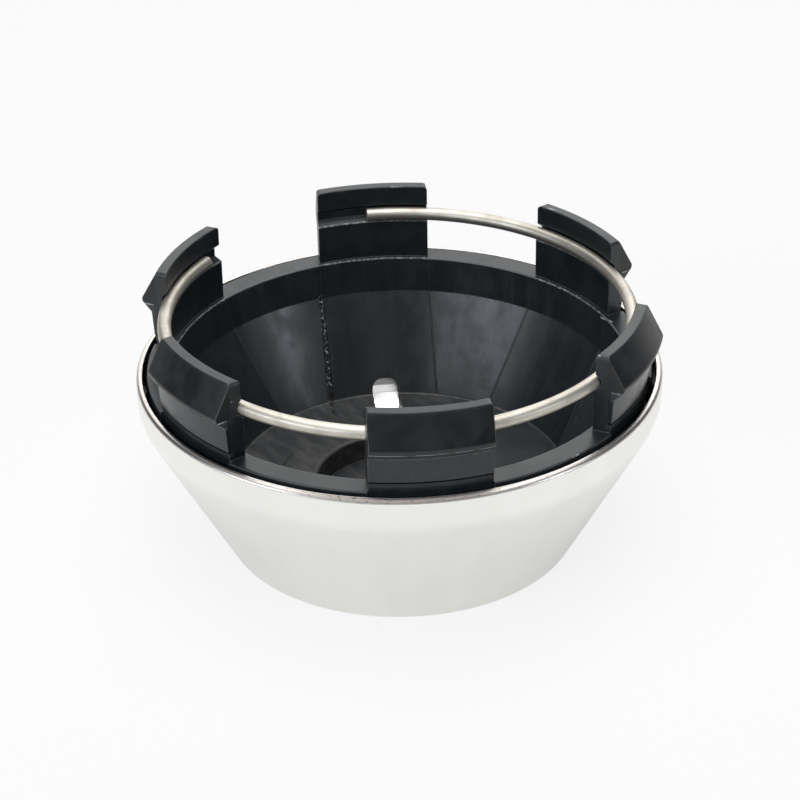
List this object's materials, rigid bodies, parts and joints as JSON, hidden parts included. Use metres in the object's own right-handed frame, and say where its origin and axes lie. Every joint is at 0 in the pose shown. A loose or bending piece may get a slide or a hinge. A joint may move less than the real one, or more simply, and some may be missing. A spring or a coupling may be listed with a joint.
{
  "type": "wheel centre cap",
  "caption": "Conical chrome-plated wheel centre cap, lying face down, with a black moulded cup whose sprung clips and wire ring snap into the wheel's centre bore.",
  "frame": {"origin": "middle of the flat face that the cap lies on", "axes": "+Z along the cap's axis, from the face towards the clips; +Y through the clip that stands over the cup's window"},
  "size_m": [0.115, 0.115, 0.0587],
  "materials": {
    "chrome_plating": "bright chrome plating, lightly scuffed along the rim",
    "black_plastic": "moulded black plastic, fairly glossy, with mould lines",
    "spring_steel": "drawn spring wire, smooth and slightly warm"
  },
  "bodies": {
    "root": {"plated_shell": "chrome_plating", "clip_retainer": "black_plastic", "spring_wire": "spring_steel"}
  },
  "joints": []
}
